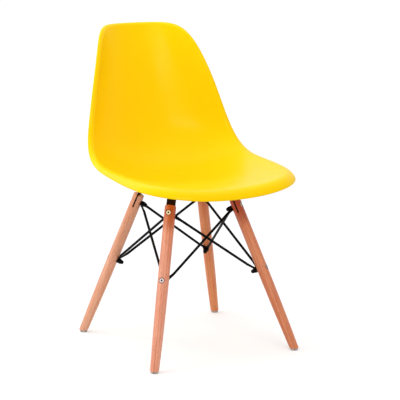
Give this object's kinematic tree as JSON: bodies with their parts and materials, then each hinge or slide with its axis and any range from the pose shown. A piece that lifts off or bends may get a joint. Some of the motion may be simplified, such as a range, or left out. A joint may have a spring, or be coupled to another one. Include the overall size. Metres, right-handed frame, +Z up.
{
  "type": "plastic shell dining chair",
  "caption": "Moulded plastic shell chair with a rolled rim on four splayed beech dowel legs, tied by crossed steel bars and black wire cross braces.",
  "frame": {"origin": "on the floor under the middle of the chair's bounding box", "axes": "+Z up, the sitter faces -Y, +X to the sitter's left; left and right are alike about X = 0"},
  "size_m": [0.4642, 0.5534, 0.8017],
  "materials": {
    "yellow_plastic": "satin",
    "insert_brass": "satin",
    "black_rubber": "matte",
    "zinc_steel": "satin",
    "black_steel": "satin",
    "black_nut": "satin",
    "beech": "satin",
    "grey_glide": "matte"
  },
  "bodies": {
    "root": {"seat_shell": "yellow_plastic", "seat_inserts": "insert_brass", "seat_spacers_front": "black_rubber", "seat_spacers_rear": "black_rubber", "seat_washers": "zinc_steel", "seat_bolts_front": "zinc_steel", "seat_bolts_rear": "zinc_steel", "leg_bolts_upper": "zinc_steel", "leg_bolts_lower": "zinc_steel", "glide_nails": "zinc_steel", "frame_bar_lower": "black_steel", "frame_bar_upper": "black_steel", "brace_right_outer": "black_steel", "brace_right_inner": "black_steel", "brace_front_outer": "black_steel", "brace_front_inner": "black_steel", "brace_left_outer": "black_steel", "brace_left_inner": "black_steel", "brace_rear_outer": "black_steel", "brace_rear_inner": "black_steel", "cap_nuts_upper": "black_nut", "cap_nuts_lower": "black_nut", "leg_front_right": "beech", "leg_front_left": "beech", "leg_rear_right": "beech", "leg_rear_left": "beech", "foot_glides": "grey_glide"}
  },
  "joints": []
}
